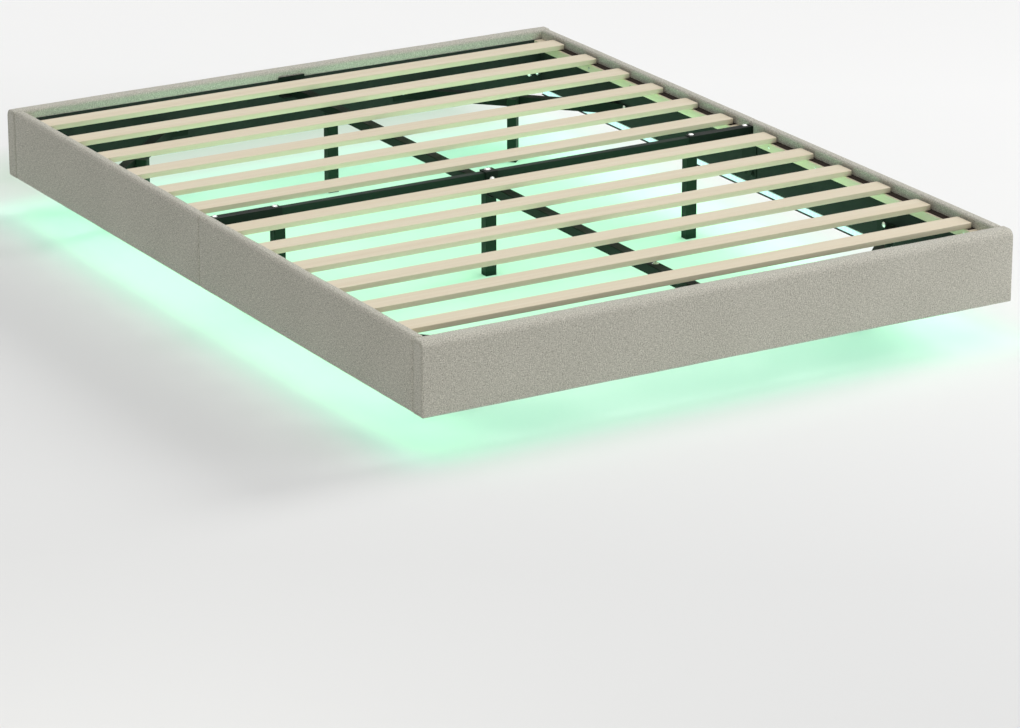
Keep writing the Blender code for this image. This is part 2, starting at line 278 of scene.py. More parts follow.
def weave_group() -> Tree:
    """Makes the plain weave: yarns along both axes of the map, thick and thin, in mixed shades.

    The height sums the product of a sine wave along each axis, whose places wander a little, and noise drawn
    out along each yarn. The shade sums the same two, flecks and slow clouds.

    Returns:
        The node group, with Height and Shade.
    """
    wiring, given, result = new_group("plain_weave", {"Yarns per metre": 650.0}, ("Height", "Shade"))
    vector = given["Vector"]
    wander = 0.0012
    across_yarn, along_yarn = 560.0, 75.0
    slub_share, fleck_share, crossing_share, cloud_share = 0.8, 2.7, 0.06, 0.16
    darkening = -1.73
    shift = wiring.scaled_sum(wiring.noise(vector, 90.0), wander, -wander / 2)
    x, y, _ = wiring.axes(wiring.moved(vector, shift))
    turns = wiring.math("MULTIPLY", given["Yarns per metre"], math.pi)
    warp = wiring.math("SINE", wiring.math("MULTIPLY", x, turns))
    weft = wiring.math("SINE", wiring.math("MULTIPLY", y, turns))
    crossing = wiring.math("MULTIPLY", warp, weft)
    slub_warp = wiring.drawn_noise(vector, (across_yarn, along_yarn, 1.0), 3.0, 0.6)
    slub_weft = wiring.drawn_noise(vector, (along_yarn, across_yarn, 1.0), 3.0, 0.6)
    slubs = wiring.math("ADD", slub_warp, slub_weft)
    fleck = wiring.noise(vector, 365.0, 3.0, 0.75)
    cloud = wiring.noise(vector, 5.0)
    shade = wiring.scaled_sum(slubs, slub_share, wiring.scaled_sum(fleck, fleck_share, darkening))
    shade = wiring.scaled_sum(cloud, cloud_share, wiring.scaled_sum(crossing, crossing_share, shade))
    height = wiring.scaled_sum(crossing, 0.35, wiring.math("MULTIPLY", slubs, 0.5))
    wiring.feed(result, {"Height": height, "Shade": shade})
    return wiring.tree


def grain_group() -> Tree:
    """Makes planed wood, with its grain along X: broad growth bands, fine fibres and short pores.

    Each is noise drawn out along X, after a slow noise has moved its place sideways by up to half the drift.

    Returns:
        The node group, with Band, Fibre and Pore.
    """
    wiring, given, result = new_group("planed_grain", {"Drift": 0.004}, ("Band", "Fibre", "Pore"))
    wave = wiring.drawn_noise(given["Vector"], (1.6, 7.0, 7.0), 2.0, 0.5)
    drift = wiring.math("MULTIPLY", wiring.math("SUBTRACT", wave, 0.5), given["Drift"])
    shift = wiring.node("ShaderNodeCombineXYZ", {1: drift, 2: drift}).outputs[0]
    bent = wiring.moved(given["Vector"], shift)
    band = wiring.drawn_noise(bent, (0.9, 62.0, 95.0), 3.0, 0.55)
    fibre = wiring.drawn_noise(bent, (9.0, 900.0, 900.0), 2.0, 0.6)
    pore = wiring.ramp(wiring.drawn_noise(bent, (70.0, 1500.0, 1500.0), 1.0, 0.5), 0.62, 0.74)
    wiring.feed(result, {"Band": band, "Fibre": fibre, "Pore": pore})
    return wiring.tree


def texture_group() -> Tree:
    """Makes a fine pebbled coat with settled dust: two sizes of noise, and a mask of pale specks.

    Returns:
        The node group, with Pebble, Smudge and Dust.
    """
    wiring, given, result = new_group("pebbled_coat", {"Size": 1100.0}, ("Pebble", "Smudge", "Dust"))
    pebble = wiring.noise(given["Vector"], given["Size"])
    smudge = wiring.noise(given["Vector"], 14.0, 4.0, 0.6)
    dust = wiring.ramp(wiring.noise(given["Vector"], 520.0), 0.66, 0.80)
    wiring.feed(result, {"Pebble": pebble, "Smudge": smudge, "Dust": dust})
    return wiring.tree


# Finishes


@dataclass(frozen=True)
class Finish:
    """What every finish has: its slot, its roughness, its specular level, and a material made from them."""

    slot: Slot
    roughness: float
    specular: float

    def material(self) -> bpy.types.Material:
        """Makes the finish's material.

        Returns:
            The material, with its Principled shader dressed.
        """
        made = bpy.data.materials.new(f"{self.slot.value}_{type(self).__name__.lower()}")
        made.use_nodes = True
        shader = made.node_tree.nodes["Principled BSDF"]
        wiring = Wiring(made.node_tree)
        wiring.feed(shader, {"Roughness": self.roughness, "Specular IOR Level": self.specular})
        wiring.feed(shader, self.dress(wiring))
        return made

    def dress(self, wiring: Wiring) -> dict[str, Any]:
        """Works out what feeds the shader; each finish has its own.

        Args:
            wiring: The material's wiring.

        Returns:
            By the shader's inputs, the sockets and constants that feed them.
        """
        raise NotImplementedError

    def place(self, wiring: Wiring) -> Socket:
        """Returns the place on the object, in metres."""
        return wiring.node("ShaderNodeTexCoord").outputs["Object"]

    def group(self, wiring: Wiring, maker: Any, vector: Any, inputs: dict[str, float]) -> Any:
        """Places a shared node group in the material, and makes it the first time.

        Args:
            wiring: The material's wiring.
            maker: The function that makes the group.
            vector: The socket that gives the place.
            inputs: The group's own values here.

        Returns:
            The group node's outputs, by name.
        """
        name = f"shared_{maker.__name__}"
        tree = bpy.data.node_groups.get(name)
        if tree is None:
            tree = maker()
            tree.name = name
        return wiring.node("ShaderNodeGroup", {"Vector": vector, **inputs}, node_tree=tree).outputs


@dataclass(frozen=True)
class Linen(Finish):
    """Heathered linen-look upholstery with a faint nap."""

    slot: Slot = Slot.LINEN
    roughness: float = 0.93
    specular: float = 0.2
    dark: Colour = (0.262, 0.253, 0.208)
    light: Colour = (0.742, 0.718, 0.632)
    yarns: float = 650.0
    relief: float = 0.0007
    relief_strength: float = 0.7
    nap: float = 0.28
    nap_roughness: float = 0.35

    def dress(self, wiring: Wiring) -> dict[str, Any]:
        """Mixes dark and light yarns by the weave's shade, and bumps the weave.

        Args:
            wiring: The material's wiring.

        Returns:
            What feeds the shader.
        """
        vector = wiring.node("ShaderNodeUVMap", uv_map=WEAVE_MAP).outputs[0]
        weave = self.group(wiring, weave_group, vector, {"Yarns per metre": self.yarns})
        return {
            "Base Color": wiring.blend(wiring.ramp(weave["Shade"], 0.0, 1.0), self.dark, self.light),
            "Normal": wiring.bump(weave["Height"], self.relief, self.relief_strength),
            "Sheen Weight": self.nap,
            "Sheen Roughness": self.nap_roughness,
        }


@dataclass(frozen=True)
class BackingCloth(Finish):
    """Thin black pressed cloth on the backs of the panels."""

    slot: Slot = Slot.LINING
    roughness: float = 0.94
    specular: float = 0.15
    dark: Colour = (0.017, 0.024, 0.021)
    light: Colour = (0.036, 0.047, 0.042)
    fibres: float = 700.0
    smudge_share: float = 0.6
    relief: float = 0.0003
    relief_strength: float = 0.6

    def dress(self, wiring: Wiring) -> dict[str, Any]:
        """Mottles the cloth's colour with pressed fibres and bumps them.

        Args:
            wiring: The material's wiring.

        Returns:
            What feeds the shader.
        """
        cloth = self.group(wiring, texture_group, self.place(wiring), {"Size": self.fibres})
        mix = wiring.scaled_sum(cloth["Smudge"], self.smudge_share, cloth["Dust"])
        return {
            "Base Color": wiring.blend(mix, self.dark, self.light),
            "Normal": wiring.bump(cloth["Pebble"], self.relief, self.relief_strength),
        }


@dataclass(frozen=True)
class PlanedWood(Finish):
    """Pale planed softwood with a thin satin coat."""

    slot: Slot = Slot.WOOD
    roughness: float = 0.46
    specular: float = 0.45
    pale: Colour = (0.725, 0.650, 0.500)
    warm: Colour = (0.625, 0.530, 0.370)
    grain: Grain = Grain.ACROSS_BED
    drift: float = 0.012
    band_reach: tuple[float, float] = (0.30, 0.72)
    band_share: float = 0.55
    fibre_share: float = 0.30
    pore_share: float = 0.25
    gloss_spread: float = 0.20
    relief: float = 0.00012
    relief_strength: float = 0.5

    def dress(self, wiring: Wiring) -> dict[str, Any]:
        """Runs bands, fibres and pores along the grain, in the colour, the gloss and the bump.

        Args:
            wiring: The material's wiring.

        Returns:
            What feeds the shader.
        """
        turn = (0.0, 0.0, -self.grain.value)
        turned_place = wiring.node("ShaderNodeMapping", {"Vector": self.place(wiring), "Rotation": turn})
        wood = self.group(wiring, grain_group, turned_place.outputs[0], {"Drift": self.drift})
        share = wiring.math("MULTIPLY", wiring.ramp(wood["Band"], *self.band_reach), self.band_share)
        share = wiring.scaled_sum(wood["Fibre"], self.fibre_share, share)
        share = wiring.scaled_sum(wood["Pore"], self.pore_share, share)
        height = wiring.math("SUBTRACT", wood["Fibre"], wood["Pore"])
        return {
            "Base Color": wiring.blend(share, self.pale, self.warm),
            "Roughness": wiring.scaled_sum(
                wood["Fibre"], self.gloss_spread, self.roughness - self.gloss_spread / 2
            ),
            "Normal": wiring.bump(height, self.relief, self.relief_strength),
        }


@dataclass(frozen=True)
class Felt(Finish):
    """Dark brown pressed felt."""

    slot: Slot = Slot.FELT
    roughness: float = 0.97
    specular: float = 0.1
    dark: Colour = (0.018, 0.013, 0.010)
    light: Colour = (0.046, 0.035, 0.028)
    fibres: float = 1600.0
    relief: float = 0.0006
    relief_strength: float = 0.8

    def dress(self, wiring: Wiring) -> dict[str, Any]:
        """Tangles light and dark fibres and bumps them.

        Args:
            wiring: The material's wiring.

        Returns:
            What feeds the shader.
        """
        felt = self.group(wiring, texture_group, self.place(wiring), {"Size": self.fibres})
        return {
            "Base Color": wiring.blend(felt["Pebble"], self.dark, self.light),
            "Normal": wiring.bump(felt["Pebble"], self.relief, self.relief_strength),
        }


@dataclass(frozen=True)
class PowderCoat(Finish):
    """Black powder-coated pebbled steel with dust specks, painted green light, less where it looks up."""

    slot: Slot = Slot.STEEL
    roughness: float = 0.58
    specular: float = 0.10
    # Painted light: the coat's green tint stands in for the strips' green light on black steel.
    coat: Colour = (0.0050, 0.0134, 0.0083)
    # Colour of the real dust specks, and also of up-facing faces as painted light, kept out of the green.
    dust: Colour = (0.0122, 0.0126, 0.0110)
    pebbles: float = 1100.0
    # How far and how much up-facing faces turn to the dust colour: painted light.
    upward_reach: tuple[float, float] = (0.6, 0.95)
    upward_share: float = 0.45
    smudge_share: float = 0.25
    gloss_spread: float = 0.24
    relief: float = 0.0002
    relief_strength: float = 0.45

    def dress(self, wiring: Wiring) -> dict[str, Any]:
        """Mixes the dust colour into specks, smudges and, as painted light, up-facing faces; varies gloss;
        bumps the skin.

        Args:
            wiring: The material's wiring.

        Returns:
            What feeds the shader.
        """
        skin = self.group(wiring, texture_group, self.place(wiring), {"Size": self.pebbles})
        normal = wiring.node("ShaderNodeNewGeometry").outputs["Normal"]
        # Painted light: faces that look up lose the coat's painted green.
        painted_top_tone = wiring.ramp(wiring.axes(normal)[2], *self.upward_reach)
        share = wiring.scaled_sum(skin["Smudge"], self.smudge_share, skin["Dust"])
        share = wiring.scaled_sum(painted_top_tone, self.upward_share, share)
        return {
            "Base Color": wiring.blend(share, self.coat, self.dust),
            "Roughness": wiring.scaled_sum(
                skin["Smudge"], self.gloss_spread, self.roughness - self.gloss_spread / 2
            ),
            "Normal": wiring.bump(skin["Pebble"], self.relief, self.relief_strength),
        }


@dataclass(frozen=True)
class BrightZinc(Finish):
    """Bright plated bolt and screw heads."""

    slot: Slot = Slot.BOLT
    roughness: float = 0.18
    specular: float = 0.5
    bright: Colour = (0.86, 0.86, 0.84)
    dull: Colour = (0.62, 0.62, 0.60)
    pebbles: float = 1900.0
    patch_reach: tuple[float, float] = (0.35, 0.70)
    dulling: float = 0.14

    def dress(self, wiring: Wiring) -> dict[str, Any]:
        """Dulls the plating in patches, in its colour and its gloss.

        Args:
            wiring: The material's wiring.

        Returns:
            What feeds the shader.
        """
        skin = self.group(wiring, texture_group, self.place(wiring), {"Size": self.pebbles})
        patch = wiring.ramp(skin["Pebble"], *self.patch_reach)
        return {
            "Base Color": wiring.blend(patch, self.bright, self.dull),
            "Roughness": wiring.scaled_sum(patch, self.dulling, self.roughness),
            "Metallic": 1.0,
        }


@dataclass(frozen=True)
class LitDiffuser(Finish):
    """The milky cover of a lit strip, with the diodes showing through as brighter spots."""

    slot: Slot = Slot.LIGHT
    roughness: float = 0.35
    specular: float = 0.5
    cover: Colour = (0.20, 0.26, 0.24)
    spot: Colour = (0.64, 0.95, 0.92)
    between: Colour = (0.53, 0.91, 0.86)
    pitch: float = 0.0167
    emission: float = 1.0

    def dress(self, wiring: Wiring) -> dict[str, Any]:
        """Brightens the glow once a pitch along the strip, by the square of a raised cosine.

        Args:
            wiring: The material's wiring.

        Returns:
            What feeds the shader.
        """
        along = wiring.axes(self.place(wiring))[1]
        phase = wiring.math("MULTIPLY", along, 2 * math.pi / self.pitch)
        wave = wiring.scaled_sum(wiring.math("COSINE", phase), 0.5, 0.5)
        return {
            "Base Color": opaque(self.cover),
            "Emission Color": wiring.blend(wiring.math("POWER", wave, 2.0), self.between, self.spot),
            "Emission Strength": self.emission,
        }


class Wardrobe:
    """Keeps one material for each finish."""

    def __init__(self) -> None:
        """Starts with no materials made."""
        self.made: dict[Finish, bpy.types.Material] = {}

    def get(self, finish: Finish) -> bpy.types.Material:
        """Hands out a finish's material, and makes it the first time.

        Args:
            finish: The finish.

        Returns:
            Its one material.
        """
        if finish not in self.made:
            self.made[finish] = finish.material()
        return self.made[finish]


WARDROBE = Wardrobe()


# Surfaces worked out on grids


@dataclass
class Solid:
    """A closed surface: points, four-sided and three-sided faces, and a weave map for the faces' corners."""

    points: Array
    quads: Array
    triangles: Array
    quad_map: Array | None = None
    triangle_map: Array | None = None

    @staticmethod
    def joined(solids: list["Solid"]) -> "Solid":
        """Puts several solids into one, without their maps.

        Args:
            solids: The solids.

        Returns:
            One solid of them all.
        """
        starts = np.cumsum([0] + [len(s.points) for s in solids[:-1]])
        return Solid(
            np.concatenate([s.points for s in solids]),
            np.concatenate([s.quads + n for s, n in zip(solids, starts)]),
            np.concatenate([s.triangles + n for s, n in zip(solids, starts)]),
        )

    def show(self, name: str, finish: Finish, smooth: float = 40.0) -> bpy.types.Object:
        """Makes the solid an object in its finish, riding on the bed.

        Args:
            name: The object's name.
            finish: What it is made of.
            smooth: The angle in degrees above which an edge stays sharp.

        Returns:
            The new object.
        """
        mesh = bpy.data.meshes.new(name)
        mesh.from_pydata(self.points.tolist(), [], self.quads.tolist() + self.triangles.tolist())
        if self.quad_map is not None:
            layer = mesh.uv_layers.new(name=WEAVE_MAP)
            corners = np.concatenate([self.quad_map.reshape(-1, 2), self.triangle_map.reshape(-1, 2)])
            layer.data.foreach_set("uv", corners.astype(np.float32).ravel())
        mesh.materials.append(WARDROBE.get(finish))
        mesh.shade_smooth()
        mesh.set_sharp_from_angle(angle=math.radians(smooth))
        shown = bpy.data.objects.new(name, mesh)
        bpy.context.scene.collection.objects.link(shown)
        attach(shown, BODY)
        LOG.info("%s: %d faces, %s", name, len(mesh.polygons), finish.slot.value)
        return shown


def ringed(rings: Array, first: Array, last: Array) -> Solid:
    """Closes a stack of rings into a solid.

    Each ring is joined to the next by four-sided faces, and the end rings to a pole by triangles. The rings
    follow an axis, and their points go round it by the right-hand rule, so every face looks outwards.

    Args:
        rings: Points by ring and place round it.
        first: The pole before the first ring.
        last: The pole after the last ring.

    Returns:
        The closed solid.
    """
    count, around = rings.shape[:2]
    index = np.arange(count * around).reshape(count, around)
    after = np.roll(index, -1, axis=1)
    quads = np.stack([index[:-1], after[:-1], after[1:], index[1:]], axis=-1).reshape(-1, 4)
    start = np.full(around, count * around)
    stop = start + 1
    triangles = np.concatenate(
        [
            np.stack([start, after[0], index[0]], axis=-1),
            np.stack([stop, index[-1], after[-1]], axis=-1),
        ]
    )
    return Solid(np.concatenate([rings.reshape(-1, 3), [first], [last]]), quads, triangles)


@dataclass(frozen=True)
class EndRounding:
    """How a bar's ends are rounded: how far in along it, and how far each side of its section draws in."""

    reach: float
    low_a: float
    high_a: float
    low_b: float
    high_b: float


@dataclass(frozen=True)
class CapSeam:
    """A seam round a bar's end face: how far in from the rim, how wide and how deep."""

    inset: float = 0.0026
    width: float = 0.0022
    depth: float = 0.0020
    steps: int = 5


@dataclass(frozen=True)
class RoundedBar:
    """A straight bar with a rounded section and rounded ends, in its own axes.

    s runs along the bar from its middle, a from low to high across it, and b from low to high up it. The
    corner radii go round from the corner at high a and low b.
    """

    length: float
    low: tuple[float, float]
    high: tuple[float, float]
    radii: tuple[float, float, float, float]
    end: EndRounding
    body_steps: int
    arc_steps: int
    flat_steps: int
    end_steps: int
    seam: CapSeam | None = None
    cap_shares: Triple = (0.82, 0.55, 0.25)
    least_radius: float = 0.0006

    @property
    def centre(self) -> tuple[float, float]:
        """Returns the middle of the section, as a and b."""
        return (self.low[0] + self.high[0]) / 2, (self.low[1] + self.high[1]) / 2

    def stations(self) -> dict[str, Array]:
        """Works out the rings along the bar.

        An end's rings follow a quarter circle: their share of the rounding is one less the cosine, while
        they move out by the sine. The cap's rings then dip at its seam, and shrink to its middle.

        Returns:
            By ring, s (place), f (share of the end's rounding), g (further inset) and k (scale to the
            middle).
        """
        angle = np.linspace(0.0, math.pi / 2, self.end_steps + 1)
        half = self.length / 2
        place = half - self.end.reach * (1.0 - np.sin(angle))
        share = 1.0 - np.cos(angle)
        inset, dip = np.zeros(0), np.zeros(0)
        if self.seam:
            steps = np.linspace(0.0, 1.0, self.seam.steps)
            inset = self.seam.inset + self.seam.width * steps
            dip = self.seam.depth * np.sin(math.pi * steps)
        cap = np.ones(len(self.cap_shares))
        deepest = inset[-1] if len(inset) else 0.0
        s = np.concatenate([place, half - dip, cap * half])
        f = np.concatenate([share, np.ones(len(inset)), cap])
        g = np.concatenate([np.zeros(len(place)), inset, cap * deepest])
        k = np.concatenate([np.ones(len(place) + len(inset)), self.cap_shares])
        body = np.linspace(-place[0], place[0], self.body_steps + 1)[1:-1]
        plain = np.zeros(len(body))
        return {
            "s": np.concatenate([-s[::-1], body, s]),
            "f": np.concatenate([f[::-1], plain, f]),
            "g": np.concatenate([g[::-1], plain, g]),
            "k": np.concatenate([k[::-1], plain + 1.0, k]),
        }

    def section(self, at: dict[str, Array]) -> tuple[Array, Array, Array, Array]:
        """Works out the rounded section at each ring.

        Each corner is a quarter circle round a centre that stands its radius in from both sides, and flats
        join the corners.

        Args:
            at: The stations.

        Returns:
            a and b by ring and place, and the outward direction's a and b by place.
        """
        f, g, k = at["f"][:, None], at["g"][:, None], at["k"][:, None]
        a_low = self.low[0] + self.end.low_a * f + g
        a_high = self.high[0] - self.end.high_a * f - g
        b_low = self.low[1] + self.end.low_b * f + g
        b_high = self.high[1] - self.end.high_b * f - g
        sides = (
            (a_high, -1, b_low, 1),
            (a_high, -1, b_high, -1),
            (a_low, 1, b_high, -1),
            (a_low, 1, b_low, 1),
        )
        flats = ((1.0, 0.0), (0.0, 1.0), (-1.0, 0.0), (0.0, -1.0))
        blend = np.linspace(0.0, 1.0, self.flat_steps + 1)[1:-1]
        arcs = []
        for corner, (a_edge, a_way, b_edge, b_way) in enumerate(sides):
            radius = np.maximum(self.radii[corner] - g, self.least_radius)
            angle = np.linspace(0.0, math.pi / 2, self.arc_steps + 1) + (corner - 1) * math.pi / 2
            a = a_edge + a_way * radius + radius * np.cos(angle)
            b = b_edge + b_way * radius + radius * np.sin(angle)
            arcs.append((a, b, np.cos(angle), np.sin(angle)))
        a_all, b_all, na_all, nb_all = [], [], [], []
        for corner, (a, b, na, nb) in enumerate(arcs):
            a_next, b_next = arcs[(corner + 1) % 4][:2]
            a_all += [a, a[:, -1:] + (a_next[:, :1] - a[:, -1:]) * blend]
            b_all += [b, b[:, -1:] + (b_next[:, :1] - b[:, -1:]) * blend]
            na_all += [na, np.full(len(blend), flats[corner][0])]
            nb_all += [nb, np.full(len(blend), flats[corner][1])]
        a, b = np.concatenate(a_all, axis=1), np.concatenate(b_all, axis=1)
        a_mid, b_mid = self.centre
        a, b = a_mid + (a - a_mid) * k, b_mid + (b - b_mid) * k
        return a, b, np.concatenate(na_all), np.concatenate(nb_all)

    def solid(self, base: Array, along: Array, across: Array, swell: Any = None) -> Solid:
        """Places the bar in the bed's frame, with its weave map in metres.

        Args:
            base: Where s, a and b are zero.
            along: The way of s.
            across: The way of a; b goes up, and across times up is along.
            swell: Gives how far each point stands out, from s, a, b and its outward a and b.

        Returns:
            The closed solid.
        """
        at = self.stations()
        a, b, na, nb = self.section(at)
        s = np.broadcast_to(at["s"][:, None], a.shape)
        wrap = (at["k"] == 1.0) & (at["g"] == 0.0)
        body = int(np.argmin(np.abs(at["s"])))
        step = np.hypot(np.diff(a[body], append=a[body, :1]), np.diff(b[body], append=b[body, :1]))
        girth = np.concatenate([[0.0], np.cumsum(step)])
        maps = self.corner_map(at, a, b, girth, wrap)
        if swell is not None:
            out = swell(s, a, b, na, nb) * wrap[:, None]
            a, b = a + out * na, b + out * nb
        rings = base + s[..., None] * along + a[..., None] * across + b[..., None] * UP
        middle = self.centre[0] * across + self.centre[1] * UP
        poles = [base + middle + along * way * self.length / 2 for way in (-1.0, 1.0)]
        made = ringed(rings, *poles)
        made.quad_map, made.triangle_map = maps
        return made

    def corner_map(
        self, at: dict[str, Array], a: Array, b: Array, girth: Array, wrap: Array
    ) -> tuple[Array, Array]:
        """Lays the cloth round the bar, and flat on its end faces.

        Round the bar, the map is the distance round the section and along the bar. On an end face it is a
        and b.

        Args:
            at: The stations.
            a: Places across, by ring and point.
            b: Places up, by ring and point.
            girth: The distance round the section at each point, and back at the first.
            wrap: Which rings belong to the round of the bar.

        Returns:
            The maps of the four-sided and three-sided faces' corners.
        """
        around = a.shape[1]
        round_u = np.broadcast_to(girth, (len(a), around + 1))
        round_v = np.broadcast_to(at["s"][:, None], (len(a), around + 1))
        flat_u = np.concatenate([a, a[:, :1]], axis=1)
        flat_v = np.concatenate([b, b[:, :1]], axis=1)
        both = (wrap[:-1] & wrap[1:])[:, None]

        def corners(upper: int, later: int) -> Array:
            """Works out the map at one corner of every four-sided face.

            Args:
                upper: 1 for a corner on the next ring.
                later: 1 for a corner at the next place round the ring.

            Returns:
                The corner's u and v, by face.
            """
            ring = slice(1, None) if upper else slice(None, -1)
            place = slice(1, None) if later else slice(None, -1)
            u = np.where(both, round_u[ring, place], flat_u[ring, place])
            v = np.where(both, round_v[ring, place], flat_v[ring, place])
            return np.stack([u, v], axis=-1).reshape(-1, 2)

        quad = np.stack([corners(0, 0), corners(0, 1), corners(1, 1), corners(1, 0)], axis=1)
        pole = np.broadcast_to(self.centre, (around, 2))
        ends = []
        for ring, order in ((0, (1, 0)), (-1, (0, 1))):
            flat = np.stack([flat_u[ring], flat_v[ring]], axis=-1)
            pair = (flat[:-1], flat[1:])
            ends.append(np.stack([pole, pair[order[0]], pair[order[1]]], axis=1))
        return quad, np.concatenate(ends)


def turned(profile: Array, centre: Array, axis: Array, steps: int, corners: Array | None = None) -> Solid:
    """Turns a profile about an axis.

    A point of the profile at radius r and height h goes to the centre plus h along the axis plus r round it.
    Where corners says so, the radius follows a hexagon: its flats' distance is divided by the cosine of the
    angle from the nearest flat's middle.

    Args:
        profile: Radius and height, from the lowest pole to the highest.
        centre: Where the height is zero.
        axis: The way of the height.
        steps: The number of points round the axis, a multiple of six.
        corners: For each point of the profile, 1 for a hexagon and 0 for a circle.

    Returns:
        The closed solid.
    """
    axis = axis / np.linalg.norm(axis)
    helper = np.array((1.0, 0.0, 0.0)) if abs(axis[0]) < 0.9 else np.array((0.0, 1.0, 0.0))
    first = np.cross(axis, helper)
    first /= np.linalg.norm(first)
    second = np.cross(axis, first)
    turn = np.linspace(0.0, 2 * math.pi, steps, endpoint=False)
    sixth = math.pi / 3
    hexagon = math.cos(sixth / 2) / np.cos(np.mod(turn, sixth) - sixth / 2)
    rim = profile[1:-1]
    flat = np.zeros(len(rim)) if corners is None else corners[1:-1]
    radius = rim[:, :1] * (1.0 + flat[:, None] * (hexagon - 1.0))
    spoke = np.cos(turn)[:, None] * first + np.sin(turn)[:, None] * second
    rings = centre + rim[:, 1, None, None] * axis + radius[..., None] * spoke
    return ringed(rings, centre + profile[0, 1] * axis, centre + profile[-1, 1] * axis)


@dataclass(frozen=True)
class BoltHead:
    """A low domed bolt head with a hexagon socket, on a thin washer."""

    radius: float = 0.0066
    rim: float = 0.0006
    dome: float = 0.0034
    washer_radius: float = 0.0082
    washer: float = 0.0008
    socket_radius: float = 0.0024
    socket_depth: float = 0.0018
    bevel: float = 0.0003
    dome_steps: int = 8
    steps: int = 24

    def solid(self, seat: Array, axis: Array) -> Solid:
        """Turns the head on its seat.

        The washer comes first, then a dome that falls with the square of the radius, then the socket.

        Args:
            seat: The middle of what the washer lies on.
            axis: The way that the head looks.

        Returns:
            The closed head.
        """
        share = np.linspace(1.0, self.socket_radius / self.radius, self.dome_steps)
        dome_r = self.radius * share
        dome_h = self.washer + self.rim + (self.dome - self.rim) * (1.0 - share**2)
        bottom = dome_h[-1] - self.socket_depth
        round_part = [
            (0.0, 0.0),
            (self.washer_radius, 0.0),
            (self.washer_radius, self.washer * 0.7),
            (self.washer_radius - self.bevel, self.washer),
            (self.radius, self.washer),
            *zip(dome_r[:-1], dome_h[:-1]),
        ]
        hexagon_part = [
            (dome_r[-1], dome_h[-1]),
            (self.socket_radius, bottom),
            (self.socket_radius * 0.5, bottom - self.bevel),
            (0.0, bottom - self.bevel),
        ]
        corners = np.array([0.0] * len(round_part) + [1.0] * len(hexagon_part))
        return turned(np.array(round_part + hexagon_part), seat, axis, self.steps, corners)


@dataclass(frozen=True)
class ScrewHead:
    """A small flat screw head, sunk a little in the middle."""

    radius: float = 0.0038
    rise: float = 0.0007
    steps: int = 18

    def solid(self, seat: Array, axis: Array) -> Solid:
        """Turns the head on its seat, by an outline in shares of its radius and its rise.

        Args:
            seat: The middle of what the head lies on.
            axis: The way that the head looks.

        Returns:
            The closed head.
        """
        radius_shares = (0.0, 1.0, 1.0, 0.86, 0.45, 0.36, 0.0)
        rise_shares = (0.0, 0.0, 0.6, 1.0, 1.0, 0.25, 0.1)
        profile = np.stack([radius_shares, rise_shares], axis=1) * (self.radius, self.rise)
        return turned(profile, seat, axis, self.steps)


@dataclass(frozen=True)
class Box:
    """A box in the bed's frame, by its lowest and highest corners."""

    low: Array
    high: Array

    @classmethod
    def of(cls, node: str) -> "Box":
        """Returns a node's box."""
        return cls(*(np.array(corner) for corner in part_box(node)))

    @property
    def size(self) -> Array:
        """Returns the size along each axis."""
        return self.high - self.low

    @property
    def middle(self) -> Array:
        """Returns the middle."""
        return (self.low + self.high) / 2

    def reach(self, way: Array) -> float:
        """Returns the size along a way that follows an axis."""
        return float(abs(self.size @ way))

    def face(self, way: Array) -> float:
        """Finds the face that looks along a way.

        Args:
            way: A unit vector along an axis, either way.

        Returns:
            The face's place on that axis.
        """
        axis = int(np.argmax(np.abs(way)))
        return float((self.high if way[axis] > 0 else self.low)[axis])


# The bed's sub-assemblies


@dataclass(frozen=True)
class Padding:
    """How foam and linen shape a panel: its edges' radii, crowns, ripples, ends, end seams and linen."""

    top_outer: float = 0.010
    top_inner: float = 0.006
    bottom: float = 0.004
    face_crown: float = 0.0016
    top_crown: float = 0.0010
    fade_power: int = 14
    ripple: float = 0.00035
    slow_waves: tuple[float, float] = (0.37, 0.23)
    quick_waves: tuple[float, float] = (0.083, 0.061)
    quick_share: float = 0.3
    end: EndRounding = EndRounding(0.0040, 0.001, 0.0075, 0.001, 0.0040)
    seam: CapSeam | None = None
    linen: Linen = Linen(dark=(0.200, 0.194, 0.158), light=(0.786, 0.760, 0.662))
    ring_pitch: float = 0.016


